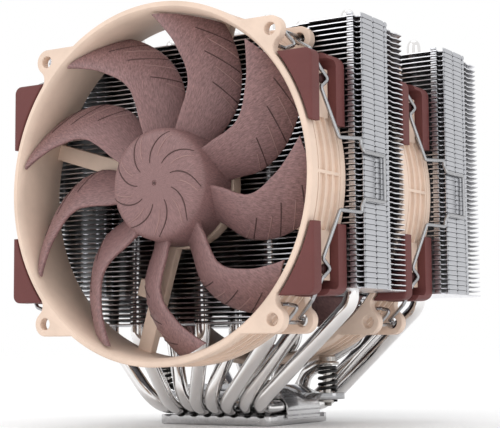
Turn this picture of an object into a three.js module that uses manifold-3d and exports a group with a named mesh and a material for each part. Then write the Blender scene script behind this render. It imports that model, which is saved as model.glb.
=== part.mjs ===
// Dual-tower CPU cooler: a nickel-plated base, eight heat pipes, two fin stacks and
// two round-framed fans that hang on the stacks by sprung wire clips.
// Millimetres, +Z up. Air flows along +Y. The origin is the centre of the base's contact face.
import * as THREE from 'three';
import { mergeVertices } from 'three/addons/utils/BufferGeometryUtils.js';
import Module from 'manifold-3d';

const wasm = await Module();
wasm.setup();

// ---- Driving dimensions ----
const GAP = 0.3;                 // air between two pieces that touch

const HOLE_PITCH = 105;          // fan mounting holes, square pattern
const FAN_DEPTH = 25;
const FAN_PITCH = 73.5;          // front fan to middle fan, along the air flow
const FAN_SHIFT = 14;            // fans and fins sit off-centre from the base, along +X
const FAN_HEIGHT = 94;           // fan axis above the contact face
const RING_RADIUS = 69.5;
const RING_BORE = 66;
const RING_SIDES = 36;

const HOLE_RADIUS = 2.25;
const TAB_RADIUS = 4.9;
const TAB_THICKNESS = 4;
const TAB_FILLET = 4;            // hollow curve between a tab and the ring

const PAD_LOW = 18;              // pad height span, measured from the fan axis
const PAD_HIGH = 44;
const PAD_DEPTH = 6.2;
const PAD_CORNER = 3;
const POST_FACE = 66.2;          // flat on the frame between the two pads of a corner
const POST_TOP = 38.5;
const PAD_BRIDGE = 2.2;          // strip of the rear pad that covers the post's end
const BRIDGE_DEPTH = 12;         // where that strip ends, leaving room for the clip wire

const CUP_RADIUS = 24;
const CUP_WALL = 1.5;
const CUP_FLOOR = 2;
const CUP_HEIGHT = 5.2;
const STRUT_WIDTH = 7;
const STRUT_DEPTH = 4;
const STRUT_COUNT = 4;
const STRUT_START = 73;          // degrees, first strut seen from the front
const CABLE_TAB = { strut: 2, from: 39.5, to: 46.5, reach: 11.3 };  // small guide on one strut

const TUBE_OUTER = 4.6;          // bearing tube in the middle of the motor cup
const SLEEVE_OUTER = 3;
const SLEEVE_BORE = 1.85;
const SHAFT_RADIUS = 1.5;

const BLADE_COUNT = 9;
// Degrees to one blade tip, seen from the front: each fan has stopped at its own turn.
const BLADE_TIP_ANGLE = { front_fan: 91, middle_fan: 80 };
const BLADE_TIP_RADIUS = 65;
const BLADE_ROOT_RADIUS = 21.6;
const BLADE_THICKNESS = 1.9;
const HUB_FRONT = 1.3;           // hub face behind the fan's front plane
const HUB_REAR = 19.2;

const TOWER_DEPTH = 47.6;
const TOWER_CLEARANCE = 0.4;     // between a fan's face and the fins
const FIN_WIDTH = 150;
const FIN_LOW = 41;
const FIN_HIGH = 155.5;
const FIN_COUNT = 10;            // full fins, from the shoulder up
const FIN_SHOULDER = 53;         // the one fin below it is shorter, so that outer pipes pass
const LOWER_SPAN = [-66, 34];    // ends of the fins below the shoulder, from the stack's centre
const LOWER_DEPTH = 44;
const FIN_THICKNESS = 2.1;
const FIN_WALL = 1.6;            // folded tabs that close the fins' sides
const TAB_ZONE = 24.5;           // length of the closed side, from the front edge
const CLIP_GROOVE = [1.3, 2.7];  // step in the front corner that the clip wire lies in

const PIPE_RADIUS = 3;
const PIPE_SIDES = 6;
const PIPE_SPACING = 6.6;        // in the base
const PIPE_TOP = 162.5;
const PIPE_BEND = 12;            // at the base
const CLIMB_BEND = 9;
const PIPE_ROWS = [12.5, 28.5];  // two rows in each stack, from its front edge
// The pipes, left to right, and each one's front and rear end: its place in the fins,
// across from the stack's centre and back from the stack's front edge; the height at
// which it would turn upright if its shoulder were sharp; where it turns up off the base
// run; and, where it crosses over a neighbour, how high it climbs before leaning out.
const [NEAR, FAR] = PIPE_ROWS;
const pipeEnd = (x, y, upright, turn, climb = 0) => ({ x, y, upright, turn, climb });
const PIPES = [
  { front: pipeEnd(-61, FAR, 36, -32), rear: pipeEnd(-61, FAR, 35, 31) },
  { front: pipeEnd(-35, NEAR, 37, -31), rear: pipeEnd(-35, NEAR, 36, 34) },
  { front: pipeEnd(-29, FAR, 37, -31), rear: pipeEnd(-29, FAR, 36, 31) },
  { front: pipeEnd(-3, NEAR, 37, -33), rear: pipeEnd(-3, NEAR, 36, 33, 20) },
  { front: pipeEnd(3, FAR, 37, -36), rear: pipeEnd(3, FAR, 36, 35) },
  { front: pipeEnd(29, NEAR, 37, -32), rear: pipeEnd(29, NEAR, 36, 31, 20) },
  { front: pipeEnd(35, FAR, 44, -31), rear: pipeEnd(35, FAR, 43, 29) },
  { front: pipeEnd(59, 22.5, 48.5, -29.3), rear: pipeEnd(57, NEAR, 48.5, 30.6) },
];
const INNER_PIPES = 6;           // these run down through the short lower fins
const SHOULDER_BENDS = [8, 8, 8, 8, 8, 8, 15, 9];

const BASE_SIZE = [54.6, 48];
const BASE_THICKNESS = 3.8;
const BASE_CORNER = 1.5;
const BLOCK_SPAN = [-9.5, 17.6];  // its front and rear faces
const BLOCK_TOP = 13.4;
const BLOCK_WALL = 0.8;
const BLOCK_CHAMFER = [4.3, 5.6];
const BASE_REBATE = { inside: 26.1, low: 2.1, span: [-18, 21] };   // seats the block's skirt

const BAR_WIDTH = 14;
const BAR_THICKNESS = 2.5;
const BAR_STEP = 3.3;            // the bar's ends lie lower than its middle
const BAR_FLAT = 24.5;           // half length of the raised middle
const BAR_SLOPE_END = 33;
const SCREW_REACH = 41;          // spring screws, distance from the base centre along X
const SCREW_HOLE = 2.4;
const BAR_SCREW_REACH = 12;

const SPRING_RADIUS = 3.6;
const SPRING_WIRE = 0.55;
const SPRING_TURNS = 4.5;
const SPRING_TOP = 24.1;
const SCREW_TIP = 7.5;
const SHANK_RADIUS = 1.95;

const WIRE_RADIUS = 0.75;

// ---- Materials ----
const material = (color, roughness, metalness) =>
  new THREE.MeshStandardMaterial({ color, roughness, metalness });
const FRAME_PLASTIC = () => material(0xe6d2c0, 0.5, 0);
const BLADE_PLASTIC = () => material(0x85605a, 0.55, 0);
const PAD_RUBBER = () => material(0x8a5250, 0.7, 0);
const FIN_METAL = () => material(0xd6d7da, 0.3, 0.9);
const NICKEL = () => material(0xdedcd8, 0.15, 1);
const STEEL = () => material(0xb9bcc0, 0.25, 1);
const BLACK_STEEL = () => material(0x141416, 0.4, 0.6);
const BRASS = () => material(0xb59a5a, 0.35, 1);
const MAGNET = () => material(0x3a3a3c, 0.6, 0.2);
const CORE_STEEL = () => material(0x77787c, 0.5, 0.8);
const BOBBIN_PLASTIC = () => material(0x4a6a52, 0.6, 0);
const BOARD = () => material(0x2f5a3c, 0.5, 0);

// ---- Geometry helpers ----
function closed(geometry) {
  const plain = geometry.clone();
  plain.deleteAttribute('normal');
  plain.deleteAttribute('uv');
  const welded = mergeVertices(plain, 1e-4);
  const source = welded.index.array;
  const kept = [];
  for (let i = 0; i < source.length; i += 3) {
    const [a, b, c] = [source[i], source[i + 1], source[i + 2]];
    if (a !== b && b !== c && c !== a) kept.push(a, b, c);
  }
  welded.setIndex(kept);
  return volumeOf(welded) < 0 ? turnedInsideOut(welded) : welded;
}

function volumeOf(geometry) {
  const position = geometry.attributes.position;
  const index = geometry.index.array;
  const [a, b, c] = [new THREE.Vector3(), new THREE.Vector3(), new THREE.Vector3()];
  let total = 0;
  for (let i = 0; i < index.length; i += 3) {
    a.fromBufferAttribute(position, index[i]);
    b.fromBufferAttribute(position, index[i + 1]);
    c.fromBufferAttribute(position, index[i + 2]);
    total += a.dot(b.cross(c)) / 6;
  }
  return total;
}

function turnedInsideOut(geometry) {
  const index = Array.from(geometry.index.array);
  for (let i = 0; i < index.length; i += 3) {
    [index[i + 1], index[i + 2]] = [index[i + 2], index[i + 1]];
  }
  geometry.setIndex(index);
  return geometry;
}

function solidOf(geometry) {
  const welded = closed(geometry);
  return new wasm.Manifold(new wasm.Mesh({
    numProp: 3,
    vertProperties: new Float32Array(welded.attributes.position.array),
    triVerts: new Uint32Array(welded.index.array),
  }));
}

function geometryOf(solid) {
  const mesh = solid.getMesh();
  const geometry = new THREE.BufferGeometry();
  geometry.setAttribute('position', new THREE.BufferAttribute(mesh.vertProperties, 3));
  geometry.setIndex(new THREE.BufferAttribute(mesh.triVerts, 1));
  return geometry;
}

const joined = (...geometries) =>
  geometries.map(solidOf).reduce((total, next) => total.add(next));

// A body turned about Z from [radius, height] pairs.
function turned(profile, sides) {
  const points = profile.map(([radius, height]) => new THREE.Vector2(radius, height));
  return new THREE.LatheGeometry(points, sides).rotateX(Math.PI / 2);
}

const closedTurned = (profile, sides) => turned([...profile, profile[0]], sides);

const tubeRing = (outer, inner, low, high, sides) =>
  closedTurned([[inner, low], [outer, low], [outer, high], [inner, high]], sides);

const rod = (radius, low, high, sides) =>
  turned([[0, low], [radius, low], [radius, high], [0, high]], sides);

// A flat outline of [x, y] points, extruded from z = low to z = high.
function plate(outline, low, high, holes = []) {
  const shape = new THREE.Shape(outline.map(([x, y]) => new THREE.Vector2(x, y)));
  for (const hole of holes) {
    shape.holes.push(new THREE.Path(hole.map(([x, y]) => new THREE.Vector2(x, y))));
  }
  const geometry = new THREE.ExtrudeGeometry(shape, { depth: high - low, bevelEnabled: false });
  return geometry.translate(0, 0, low);
}

function box(low, high) {
  const size = high.map((value, i) => value - low[i]);
  const middle = high.map((value, i) => (value + low[i]) / 2);
  return new THREE.BoxGeometry(...size).translate(...middle);
}

const degrees = (angle) => angle * Math.PI / 180;
const polar = (radius, angle) => [radius * Math.cos(angle), radius * Math.sin(angle)];

function arc(centre, radius, from, to, steps) {
  return Array.from({ length: steps + 1 }, (_, i) => {
    const [x, y] = polar(radius, from + (to - from) * i / steps);
    return [centre[0] + x, centre[1] + y];
  });
}

const polygon = (centre, radius, sides, start = 0) =>
  arc(centre, radius, start, start + 2 * Math.PI * (1 - 1 / sides), sides - 1);

// Replaces each corner of a line of points by a short arc of about the given radius,
// or of its own radius where a list gives one for each corner.
function rounded(points, radius, steps) {
  const path = [points[0]];
  for (let i = 1; i < points.length - 1; i += 1) {
    const corner = points[i];
    const back = points[i - 1].clone().sub(corner);
    const ahead = points[i + 1].clone().sub(corner);
    const halfAngle = back.angleTo(ahead) / 2;
    const room = Math.min(back.length(), ahead.length()) * 0.48;
    const wanted = Array.isArray(radius) ? radius[i - 1] : radius;
    const reach = Math.min(wanted / Math.tan(halfAngle), room);
    const start = corner.clone().addScaledVector(back.normalize(), reach);
    const end = corner.clone().addScaledVector(ahead.normalize(), reach);
    const curve = new THREE.QuadraticBezierCurve3(start, corner, end);
    path.push(...curve.getPoints(steps));
  }
  path.push(points[points.length - 1]);
  return path;
}

// A path whose evenly numbered stations are exactly the given points.
class StationPath extends THREE.Curve {
  constructor(points) {
    super();
    this.points = points;
  }

  getPoint(t) {
    const last = this.points.length - 1;
    const place = Math.min(t * last, last);
    const i = Math.min(Math.floor(place + 1e-9), last - 1);
    return this.points[i].clone().lerp(this.points[i + 1], place - i);
  }

  getPointAt(t) {
    return this.getPoint(t);
  }

  getTangentAt(t) {
    const last = this.points.length - 1;
    const i = Math.round(t * last);
    const ahead = this.points[Math.min(i + 1, last)].clone().sub(this.points[Math.min(i, last - 1)]);
    const behind = this.points[Math.max(i, 1)].clone().sub(this.points[Math.max(i - 1, 0)]);
    return ahead.normalize().add(behind.normalize()).normalize();
  }
}

function bentRod(points, radius, sides) {
  const section = new THREE.Shape(polygon([0, 0], radius, sides).map(([x, y]) => new THREE.Vector2(x, y)));
  const options = { steps: points.length - 1, extrudePath: new StationPath(points), bevelEnabled: false };
  return new THREE.ExtrudeGeometry(section, options);
}

function piece(name, shape, surface) {
  const geometry = shape instanceof THREE.BufferGeometry ? closed(shape) : geometryOf(shape);
  geometry.computeVertexNormals();
  const mesh = new THREE.Mesh(geometry, surface);
  mesh.name = name;
  return mesh;
}

const CORNERS = [
  { name: 'top_right', side: 1, up: 1 },
  { name: 'top_left', side: -1, up: 1 },
  { name: 'bottom_right', side: 1, up: -1 },
  { name: 'bottom_left', side: -1, up: -1 },
];

const flipped = (outline, { side, up }) => outline.map(([x, y]) => [x * side, y * up]);

// ---- Fan ----
// Each fan is built with x to the right, y up and z towards its intake, centred on its depth.
const FACE = FAN_DEPTH / 2;
const behindFace = (depth) => FACE - depth;

// One mounting tab in the upper right corner, as far as the middle of the ring's wall.
function tabOutline() {
  const hole = HOLE_PITCH / 2;
  const inWall = (RING_RADIUS + RING_BORE) / 2;
  const holeDistance = Math.hypot(hole, hole);
  const filletDistance = RING_RADIUS + TAB_FILLET;
  const reach = TAB_RADIUS + TAB_FILLET;
  const turn = Math.acos(
    (filletDistance ** 2 + holeDistance ** 2 - reach ** 2) / (2 * filletDistance * holeDistance));
  const filletAngle = Math.PI / 4 - turn;
  const filletCentre = polar(filletDistance, filletAngle);
  const towardsFillet = Math.atan2(filletCentre[1] - hole, filletCentre[0] - hole);
  const top = hole + TAB_RADIUS;
  const topStart = Math.sqrt(RING_RADIUS ** 2 - top ** 2);
  return [
    polar(inWall, Math.atan2(top, topStart)),
    [topStart, top],
    ...arc([hole, hole], TAB_RADIUS, Math.PI / 2, towardsFillet, 5),
    ...arc(filletCentre, TAB_FILLET, towardsFillet + Math.PI, filletAngle + Math.PI, 3).slice(1),
    polar(inWall, filletAngle + 0.02),
  ];
}

// Wedge between the ring and a flat side plane, from one height to another.
function wedgeOutline(ringRadius, flat, low, high, corner, steps) {
  const from = Math.asin(high / ringRadius);
  const to = Math.asin(low / ringRadius);
  const side = corner > 0
    ? arc([flat - corner, high - corner], corner, 0, Math.PI / 2, 3)
    : [[flat, high]];
  return [[flat, low], ...side, ...arc([0, 0], ringRadius, from, to, steps)];
}

function frame(prefix) {
  const ringProfile = [
    [RING_BORE, -FACE],
    [RING_RADIUS, -FACE],
    [RING_RADIUS, FACE],
    [RING_BORE + 1.2, FACE],
    [RING_BORE, FACE - 2.5],
  ];
  const hole = HOLE_PITCH / 2;
  const parts = [closedTurned(ringProfile, RING_SIDES)];
  for (const corner of CORNERS) {
    const outline = flipped(tabOutline(), corner);
    const centre = [hole * corner.side, hole * corner.up];
    const opening = polygon(centre, HOLE_RADIUS, 8, Math.PI / 8);
    parts.push(plate(outline, FACE - TAB_THICKNESS, FACE, [opening]));
    parts.push(plate(outline, -FACE, TAB_THICKNESS - FACE, [opening]));
    const wallRadius = (RING_RADIUS + RING_BORE) / 2;
    const post = wedgeOutline(wallRadius, POST_FACE, PAD_LOW + 2.5, POST_TOP, 0, 3);
    const postEnd = FACE - GAP - PAD_DEPTH - GAP;
    parts.push(plate(flipped(post, corner), -postEnd, postEnd));
  }
  const cupProfile = [
    [0, -FACE],
    [CUP_RADIUS, -FACE],
    [CUP_RADIUS, CUP_HEIGHT - FACE],
    [CUP_RADIUS - CUP_WALL, CUP_HEIGHT - FACE],
    [CUP_RADIUS - CUP_WALL, CUP_FLOOR - FACE],
    [TUBE_OUTER, CUP_FLOOR - FACE],
    [TUBE_OUTER, 4.5],
    [SLEEVE_OUTER + 1.3 * GAP, 4.5],
    [SLEEVE_OUTER + 1.3 * GAP, CUP_FLOOR - FACE],
    [0, CUP_FLOOR - FACE],
  ];
  parts.push(turned(cupProfile, 20));
  for (let i = 0; i < STRUT_COUNT; i += 1) {
    const strut = box(
      [CUP_RADIUS - CUP_WALL / 2, -STRUT_WIDTH / 2, -FACE],
      [(RING_BORE + RING_RADIUS) / 2, STRUT_WIDTH / 2, STRUT_DEPTH - FACE]);
    parts.push(strut.rotateZ(degrees(STRUT_START + 360 * i / STRUT_COUNT)));
  }
  const tab = box(
    [CABLE_TAB.from, -CABLE_TAB.reach, -FACE],
    [CABLE_TAB.to, 0, STRUT_DEPTH / 2 - FACE]);
  parts.push(tab.rotateZ(degrees(STRUT_START + 360 * CABLE_TAB.strut / STRUT_COUNT)));
  return piece(`${prefix}_frame`, joined(...parts), FRAME_PLASTIC());
}

// Leading and trailing edge of a blade at a share of its span: radius, angle from
// the tip in degrees, and depth behind the front plane.
const BLADE_SECTIONS = [
  { span: 0, lead: [-14.5, 8.2], trail: [-48, 18] },
  { span: 0.25, lead: [-20, 6.3], trail: [-46, 18] },
  { span: 0.5, lead: [-19, 4.4], trail: [-41.8, 18] },
  { span: 0.75, lead: [-10.5, 2.7], trail: [-32.5, 18] },
  { span: 1, lead: [0, 1.6], trail: [-20.5, 18] },
];
const BLADE_CHORD_STEPS = 3;
const BLADE_CAMBER = 1.35;       // above 1, the blade turns back more towards its trailing edge

function blade(tipAngle) {
  const rows = BLADE_SECTIONS.map(({ span, lead, trail }) => {
    const radius = BLADE_ROOT_RADIUS + span * (BLADE_TIP_RADIUS - BLADE_ROOT_RADIUS);
    return Array.from({ length: BLADE_CHORD_STEPS + 1 }, (_, i) => {
      const share = i / BLADE_CHORD_STEPS;
      const angle = lead[0] + (trail[0] - lead[0]) * share;
      const depth = lead[1] + (trail[1] - lead[1]) * share ** BLADE_CAMBER;
      const [x, y] = polar(radius, degrees(tipAngle + angle));
      return new THREE.Vector3(x, y, behindFace(depth));
    });
  });
  const columns = BLADE_CHORD_STEPS + 1;
  const vertices = [];
  for (const offset of [BLADE_THICKNESS / 2, -BLADE_THICKNESS / 2]) {
    rows.forEach((row, r) => row.forEach((point, c) => {
      const along = row[Math.min(c + 1, columns - 1)].clone().sub(row[Math.max(c - 1, 0)]);
      const out = rows[Math.min(r + 1, rows.length - 1)][c].clone().sub(rows[Math.max(r - 1, 0)][c]);
      const normal = new THREE.Vector3(point.x, point.y, 0).normalize();
      const face = out.cross(along).normalize();
      face.addScaledVector(normal, -face.dot(normal)).normalize();
      vertices.push(...point.clone().addScaledVector(face, offset).toArray());
    }));
  }
  return surfacePair(vertices, rows.length, columns);
}

// Joins two equal grids of points, one after the other in the list, into a closed sheet.
function surfacePair(vertices, rowCount, columnCount) {
  const index = [];
  const size = rowCount * columnCount;
  const quad = (a, b, c, d) => index.push(a, b, c, a, c, d);
  const at = (layer, row, column) => layer * size + row * columnCount + column;
  for (let r = 0; r < rowCount - 1; r += 1) {
    for (let c = 0; c < columnCount - 1; c += 1) {
      quad(at(0, r, c), at(0, r, c + 1), at(0, r + 1, c + 1), at(0, r + 1, c));
      quad(at(1, r, c), at(1, r + 1, c), at(1, r + 1, c + 1), at(1, r, c + 1));
    }
    quad(at(0, r, 0), at(0, r + 1, 0), at(1, r + 1, 0), at(1, r, 0));
    const end = columnCount - 1;
    quad(at(0, r + 1, end), at(0, r, end), at(1, r, end), at(1, r + 1, end));
  }
  for (let c = 0; c < columnCount - 1; c += 1) {
    quad(at(0, 0, c + 1), at(0, 0, c), at(1, 0, c), at(1, 0, c + 1));
    const end = rowCount - 1;
    quad(at(0, end, c), at(0, end, c + 1), at(1, end, c + 1), at(1, end, c));
  }
  const geometry = new THREE.BufferGeometry();
  geometry.setAttribute('position', new THREE.Float32BufferAttribute(vertices, 3));
  geometry.setIndex(index);
  return geometry;
}

const YOKE_RADIUS = 19.4;
const YOKE_WALL = 0.8;
const HUB_SIDES = 24;

function impeller(prefix) {
  const hubProfile = [
    [0, behindFace(HUB_FRONT)],
    [16, behindFace(HUB_FRONT + 0.5)],
    [20.4, behindFace(HUB_FRONT + 1.6)],
    [21.8, behindFace(HUB_FRONT + 3.4)],
    [23.4, behindFace(HUB_REAR)],
    [YOKE_RADIUS + 2 * GAP, behindFace(HUB_REAR)],
    [YOKE_RADIUS + 2 * GAP, behindFace(HUB_FRONT + 3.6)],
    [0, behindFace(HUB_FRONT + 3.6)],
  ];
  const parts = [turned(hubProfile, HUB_SIDES)];
  for (let i = 0; i < BLADE_COUNT; i += 1) {
    parts.push(blade(BLADE_TIP_ANGLE[prefix] + 360 * i / BLADE_COUNT));
  }
  return piece(`${prefix}_impeller`, joined(...parts), BLADE_PLASTIC());
}

function motor(prefix) {
  const ceiling = behindFace(HUB_FRONT + 3.6) - GAP;
  const yokeFloor = ceiling - 1;
  const yoke = closedTurned([
    [SHAFT_RADIUS + GAP, ceiling],
    [YOKE_RADIUS, ceiling],
    [YOKE_RADIUS, -5.5],
    [YOKE_RADIUS - YOKE_WALL, -5.5],
    [YOKE_RADIUS - YOKE_WALL, yokeFloor],
    [SHAFT_RADIUS + GAP, yokeFloor],
  ], HUB_SIDES);
  const magnetOuter = YOKE_RADIUS - YOKE_WALL - GAP;
  const magnet = tubeRing(magnetOuter, magnetOuter - 1.8, -5.2, yokeFloor - 2, HUB_SIDES);
  const coreRadius = magnetOuter - 2.6;
  return [
    piece(`${prefix}_rotor_yoke`, yoke, STEEL()),
    piece(`${prefix}_magnet_ring`, magnet, MAGNET()),
    piece(`${prefix}_shaft`, rod(SHAFT_RADIUS, -9, ceiling, 10), STEEL()),
    piece(`${prefix}_bearing_sleeve`, tubeRing(SLEEVE_OUTER, SLEEVE_BORE, -9.8, 4.4, 10), BRASS()),
    piece(`${prefix}_stator_core`, plate(statorOutline(coreRadius), -5, 1.5,
      [polygon([0, 0], TUBE_OUTER + 2 * GAP, 12)]), CORE_STEEL()),
    piece(`${prefix}_coil_bobbin`, plate(statorOutline(coreRadius - 2), 1.5 + GAP, 4.2,
      [polygon([0, 0], TUBE_OUTER + 2 * GAP, 12)]), BOBBIN_PLASTIC()),
    piece(`${prefix}_circuit_board`, tubeRing(20, TUBE_OUTER + 2 * GAP, -9.6, -8.4, 16), BOARD()),
  ];
}

// Four-pole lamination: broad pole faces on narrow necks.
function statorOutline(radius) {
  const outline = [];
  for (let pole = 0; pole < 4; pole += 1) {
    const middle = pole * Math.PI / 2;
    outline.push(polar(radius * 0.48, middle - 0.5));
    outline.push(polar(radius * 0.75, middle - 0.32));
    outline.push(...arc([0, 0], radius, middle - 0.62, middle + 0.62, 3));
    outline.push(polar(radius * 0.75, middle + 0.32));
    outline.push(polar(radius * 0.48, middle + 0.5));
  }
  return outline;
}

function pads(prefix) {
  const ringRadius = RING_RADIUS + GAP + 0.4;
  const outline = wedgeOutline(ringRadius, RING_RADIUS, PAD_LOW, PAD_HIGH, PAD_CORNER, 4);
  const bridge = wedgeOutline(ringRadius, RING_RADIUS, PAD_HIGH - PAD_BRIDGE, PAD_HIGH, 1, 1);
  const outer = FACE - GAP;
  const inner = outer - PAD_DEPTH;
  return CORNERS.flatMap((corner) => {
    const front = plate(flipped(outline, corner), inner, outer);
    const rear = joined(
      plate(flipped(outline, corner), -outer, -inner),
      plate(flipped(bridge, corner), -inner - 1, behindFace(BRIDGE_DEPTH)));
    return [
      piece(`${prefix}_pad_${corner.name}_front`, front, PAD_RUBBER()),
      piece(`${prefix}_pad_${corner.name}_rear`, rear, PAD_RUBBER()),
    ];
  });
}

// Half of a wire clip, from the free end of its hook to the middle of the finger loop:
// x and y from the fan axis, then the depth behind the fan's front plane.
const FIN_SIDE = FIN_WIDTH / 2;
const LOOP_X = FIN_SIDE + GAP + WIRE_RADIUS + 0.1;
const WIRE_OUTSIDE_PADS = 67.9; // between the front and rear pads
const HOOK_X = HOLE_PITCH / 2;
const HOOK_DEPTH = 22.5;
const GROOVE_DEPTH = 26.8;
const LOOP_HALF = 8.7;
const CLIP_HALF = [
  [HOOK_X + 0.4, 47, 6],
  [HOOK_X + 0.6, 46.8, 10],
  [HOOK_X + 4.9, 47.7, 10.5],
  [HOOK_X, 53.35, 10],
  [HOOK_X, 53.35, HOOK_DEPTH],
  [HOOK_X, 51.65, HOOK_DEPTH],
  [HOOK_X, 51.65, 19.4],
  [HOOK_X + 11.5, 45.5, 9],
  [WIRE_OUTSIDE_PADS, 38, 9.2],
  [WIRE_OUTSIDE_PADS, 34.5, 15.4],
  [WIRE_OUTSIDE_PADS, 31, 9.8],
  [WIRE_OUTSIDE_PADS + 3.3, 13.2, 17],
  [FIN_SIDE - 0.1, 13.6, GROOVE_DEPTH],
  [FIN_SIDE - 0.1, 11.4, GROOVE_DEPTH],
  [LOOP_X, LOOP_HALF, GROOVE_DEPTH],
  [LOOP_X, LOOP_HALF, 43],
];

function clip(name, side) {
  const upper = CLIP_HALF.map(([x, y, depth]) => new THREE.Vector3(x * side, y, behindFace(depth)));
  const lower = CLIP_HALF.map(([x, y, depth]) => new THREE.Vector3(x * side, -y, behindFace(depth)));
  const path = rounded([...upper, ...lower.reverse()], 1.2, 1);
  return piece(name, bentRod(path, WIRE_RADIUS, 5), STEEL());
}

function fan(prefix, middleY) {
  const assembly = new THREE.Group();
  assembly.rotation.x = Math.PI / 2;
  assembly.position.set(FAN_SHIFT, middleY, FAN_HEIGHT);
  assembly.add(frame(prefix), impeller(prefix), ...motor(prefix), ...pads(prefix));
  assembly.add(clip(`${prefix}_clip_right`, 1), clip(`${prefix}_clip_left`, -1));
  return assembly;
}

// ---- Fin stacks ----
// Outline of one fin, front edge at y = 0, centred on x = 0.
function finOutline() {
  const half = FIN_WIDTH / 2;
  const [grooveStep, grooveLength] = CLIP_GROOVE;
  const right = [
    [44, 4],
    [44, 2],
    [54, 2],
    [54, 0],
    [half - grooveStep, 0],
    [half - grooveStep, grooveLength],
    [half, grooveLength],
    [half, TAB_ZONE],
    [half - 2, TAB_ZONE],
    [half - 2, 41],
    [half - 8, TOWER_DEPTH],
  ];
  const left = right.map(([x, y]) => [-x, y]).reverse();
  return [...right, ...left];
}

// Outline of a fin below the shoulder: its right end leaves room for the leaning pipes.
function lowerFinOutline() {
  const [left, right] = LOWER_SPAN;
  return [[left, 0], [right, 0], [right, 20], [26, 24], [26, LOWER_DEPTH], [left, LOWER_DEPTH]];
}

function finStack(end, frontY) {
  const pitch = (FIN_HIGH - FIN_SHOULDER - FIN_THICKNESS) / (FIN_COUNT - 1);
  const half = FIN_WIDTH / 2;
  const solids = [plate(lowerFinOutline(), FIN_LOW, FIN_LOW + FIN_THICKNESS)];
  for (let i = 0; i < FIN_COUNT; i += 1) {
    const low = FIN_SHOULDER + i * pitch;
    solids.push(plate(finOutline(), low, low + FIN_THICKNESS));
  }
  for (const side of [-1, 1]) {
    const [inner, outer] = [half - FIN_WALL, half].map((x) => x * side).sort((a, b) => a - b);
    solids.push(box([inner, CLIP_GROOVE[1], FIN_SHOULDER], [outer, TAB_ZONE, FIN_HIGH]));
  }
  const [left, right] = LOWER_SPAN;
  const joint = FIN_SHOULDER + FIN_THICKNESS / 2;
  solids.push(box([left, 4, FIN_LOW], [left + FIN_WALL, TAB_ZONE, joint]));
  solids.push(box([right - FIN_WALL, 4, FIN_LOW], [right, 19, joint]));
  const hole = PIPE_RADIUS + GAP;
  const holes = PIPES.map((pipe) => pipe[end]).map(({ x, y }) =>
    box([x - hole, y - hole, FIN_LOW - 1], [x + hole, y + hole, FIN_HIGH + 1]));
  const mesh = piece(`${end}_fin_stack`, joined(...solids).subtract(joined(...holes)), FIN_METAL());
  mesh.position.set(FAN_SHIFT, frontY, 0);
  return mesh;
}

// ---- Heat pipes ----
function heatPipe(index, pipe, stackEdges) {
  const baseX = (index - (PIPES.length - 1) / 2) * PIPE_SPACING;
  const baseZ = BASE_THICKNESS + GAP + PIPE_RADIUS;
  // Corners from the base run to the tip, and the radius of each bend.
  const half = (end) => {
    const { x, y, upright, turn, climb } = pipe[end];
    const [towerX, towerY] = [FAN_SHIFT + x, stackEdges[end] + y];
    const foot = new THREE.Vector3(baseX, turn, baseZ);
    const crossing = climb
      ? [new THREE.Vector3(baseX + (towerX - baseX) * 0.1, turn + (towerY - turn) * 0.25, climb)]
      : [];
    const upper = [upright, PIPE_TOP].map((z) => new THREE.Vector3(towerX, towerY, z));
    return {
      corners: [foot, ...crossing, ...upper],
      bends: [PIPE_BEND, ...crossing.map(() => CLIMB_BEND), SHOULDER_BENDS[index]],
    };
  };
  const [front, rear] = [half('front'), half('rear')];
  const corners = [...front.corners.reverse(), ...rear.corners];
  const bends = [...front.bends.reverse(), ...rear.bends];
  const path = rounded(corners, bends, 3);
  return piece(`heat_pipe_${index + 1}`, bentRod(path, PIPE_RADIUS, PIPE_SIDES), NICKEL());
}

// ---- Base and mounting bar ----
function roundedRectangle(width, depth, radius, steps) {
  const [x, y] = [width / 2 - radius, depth / 2 - radius];
  return [[x, y], [-x, y], [-x, -y], [x, -y]].flatMap((centre, i) =>
    arc(centre, radius, i * Math.PI / 2, (i + 1) * Math.PI / 2, steps));
}

function basePlate() {
  const outline = roundedRectangle(...BASE_SIZE, BASE_CORNER, 2);
  const { inside, low, span: [front, rear] } = BASE_REBATE;
  const rightRebate = box([inside, front, low], [BASE_SIZE[0], rear, BASE_THICKNESS + 1]);
  const leftRebate = box([-BASE_SIZE[0], front, low], [-inside, rear, BASE_THICKNESS + 1]);
  const solid = solidOf(plate(outline, 0, BASE_THICKNESS))
    .subtract(solidOf(rightRebate))
    .subtract(solidOf(leftRebate));
  return piece('base_plate', solid, NICKEL());
}

const BAR_SCREW_HOLE = 1.7;
const atBoth = (reach) => [-reach, reach];

function baseBlock() {
  const half = BASE_SIZE[0] / 2 - 0.1;
  const low = BASE_REBATE.low + GAP;
  const ceiling = BASE_THICKNESS + GAP + 2 * PIPE_RADIUS + GAP + 0.1;
  const [across, down] = BLOCK_CHAMFER;
  const right = [
    [half - 2.6, ceiling],
    [half - BLOCK_WALL, BLOCK_TOP - down + 0.4],
    [half - BLOCK_WALL, low],
    [half, low],
    [half, BLOCK_TOP - down],
    [half - across, BLOCK_TOP],
  ];
  const left = right.map(([x, z]) => [-x, z]).reverse();
  const [front, rear] = BLOCK_SPAN;
  const body = plate([...right, ...left], -rear, -front).rotateX(Math.PI / 2);
  let solid = solidOf(body);
  for (const x of atBoth(BAR_SCREW_REACH)) {
    solid = solid.subtract(solidOf(rod(BAR_SCREW_HOLE, ceiling + 0.6, BLOCK_TOP + 1, 10).translate(x, 0, 0)));
  }
  return piece('base_block', solid, NICKEL());
}

const BAR_MIDDLE = BLOCK_TOP + GAP;
const BAR_END = BAR_MIDDLE - BAR_STEP;

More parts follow.
